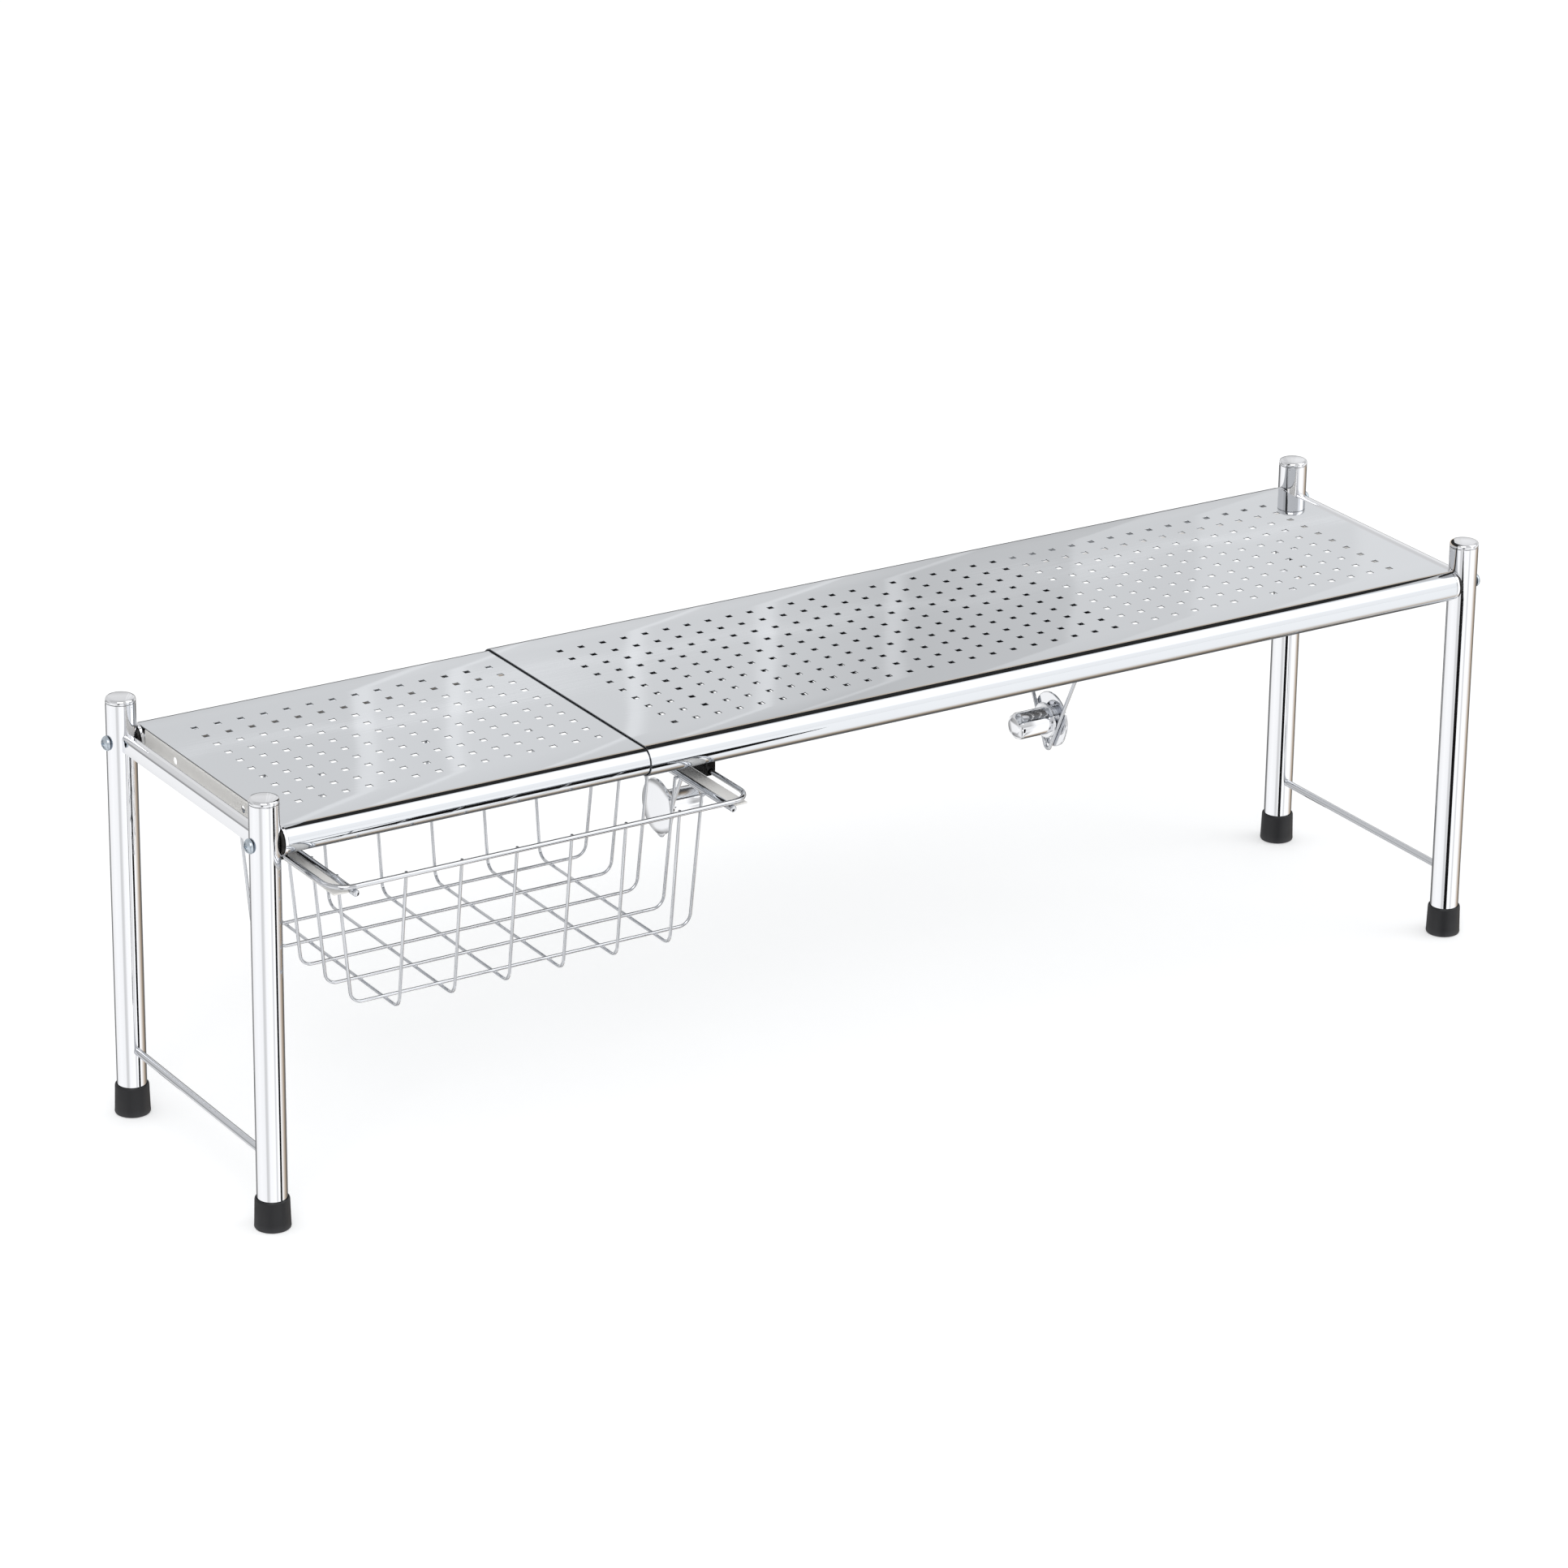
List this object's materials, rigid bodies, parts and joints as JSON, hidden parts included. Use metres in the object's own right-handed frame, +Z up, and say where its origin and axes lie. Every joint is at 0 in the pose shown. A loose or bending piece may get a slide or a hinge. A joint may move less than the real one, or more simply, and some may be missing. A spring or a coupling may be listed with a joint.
{
  "type": "over sink shelf",
  "caption": "Extending chrome shelf on two leg frames with a perforated deck, a sliding wire basket and a swing-open kitchen roll holder under it.",
  "frame": {"origin": "on the floor, under the middle of the whole outline with the basket drawn out as in the picture", "axes": "+X along the shelf from the basket end to the extending end, +Y from front to back, +Z up"},
  "size_m": [0.914, 0.2482, 0.28],
  "materials": {
    "chrome": "bright chrome plate",
    "stainless": "semi-mirror rolled stainless sheet",
    "zinc": "bright zinc plate",
    "rubber": "smooth black moulded rubber",
    "plastic": "dark moulded plastic"
  },
  "bodies": {
    "shelf": {"left_cross_bar": "chrome", "left_lower_rod": "chrome", "left_front_leg": "chrome", "left_front_leg_cap": "chrome", "left_front_foot": "rubber", "left_front_leg_screw": "zinc", "left_front_end_plug": "plastic", "left_back_leg": "chrome", "left_back_leg_cap": "chrome", "left_back_foot": "rubber", "left_back_leg_screw": "zinc", "left_back_end_plug": "plastic", "inner_deck": "stainless", "inner_front_rail": "stainless", "inner_back_rail": "stainless", "inner_end_flange": "stainless", "left_basket_guide": "plastic", "right_basket_guide": "plastic", "left_holder_bracket": "chrome", "right_holder_bracket": "chrome"},
    "extension": {"right_cross_bar": "chrome", "right_lower_rod": "chrome", "right_front_leg": "chrome", "right_front_leg_cap": "chrome", "right_front_foot": "rubber", "right_front_leg_screw": "zinc", "right_front_end_plug": "plastic", "right_back_leg": "chrome", "right_back_leg_cap": "chrome", "right_back_foot": "rubber", "right_back_leg_screw": "zinc", "right_back_end_plug": "plastic", "outer_deck": "stainless", "outer_front_rail": "stainless", "outer_back_rail": "stainless", "outer_end_flange": "stainless"},
    "basket": {"basket_rim": "chrome", "basket_long_wire_1": "chrome", "basket_long_wire_2": "chrome", "basket_long_wire_3": "chrome", "basket_long_wire_4": "chrome", "basket_long_wire_5": "chrome", "basket_long_wire_6": "chrome", "basket_cross_wire_1": "chrome", "basket_cross_wire_2": "chrome", "basket_cross_wire_3": "chrome", "basket_cross_wire_4": "chrome", "basket_cross_wire_5": "chrome", "basket_left_side_rod": "chrome", "basket_right_side_rod": "chrome", "basket_left_corner_strip": "chrome", "basket_right_corner_strip": "chrome"},
    "left_hanger": {"left_hanger_wire": "chrome"},
    "left_bobbin": {"left_roll_end": "chrome"},
    "right_hanger": {"right_hanger_wire": "chrome"},
    "right_bobbin": {"right_roll_end": "chrome"}
  },
  "joints": [
    {"name": "extension_slide", "type": "slide", "parent": "shelf", "child": "extension", "axis": [1, 0, 0], "range_m": [-0.238, 0.15]},
    {"name": "basket_slide", "type": "slide", "parent": "shelf", "child": "basket", "axis": [0, -1, 0], "range_m": [-0.016, 0.07]},
    {"name": "left_hanger_swing", "type": "hinge", "parent": "shelf", "child": "left_hanger", "pos_m": [-0.115, 0.0177, 0.2543], "axis": [0, 1, 0], "range_deg": [-60, 12]},
    {"name": "left_bobbin_spin", "type": "hinge", "parent": "left_hanger", "child": "left_bobbin", "pos_m": [-0.115, 0.0177, 0.1735], "axis": [1, 0, 0], "continuous": true},
    {"name": "right_hanger_swing", "type": "hinge", "parent": "shelf", "child": "right_hanger", "pos_m": [0.181, 0.0177, 0.2543], "axis": [0, -1, 0], "range_deg": [-10, 65]},
    {"name": "right_bobbin_spin", "type": "hinge", "parent": "right_hanger", "child": "right_bobbin", "pos_m": [0.181, 0.0177, 0.1735], "axis": [1, 0, 0], "continuous": true}
  ]
}
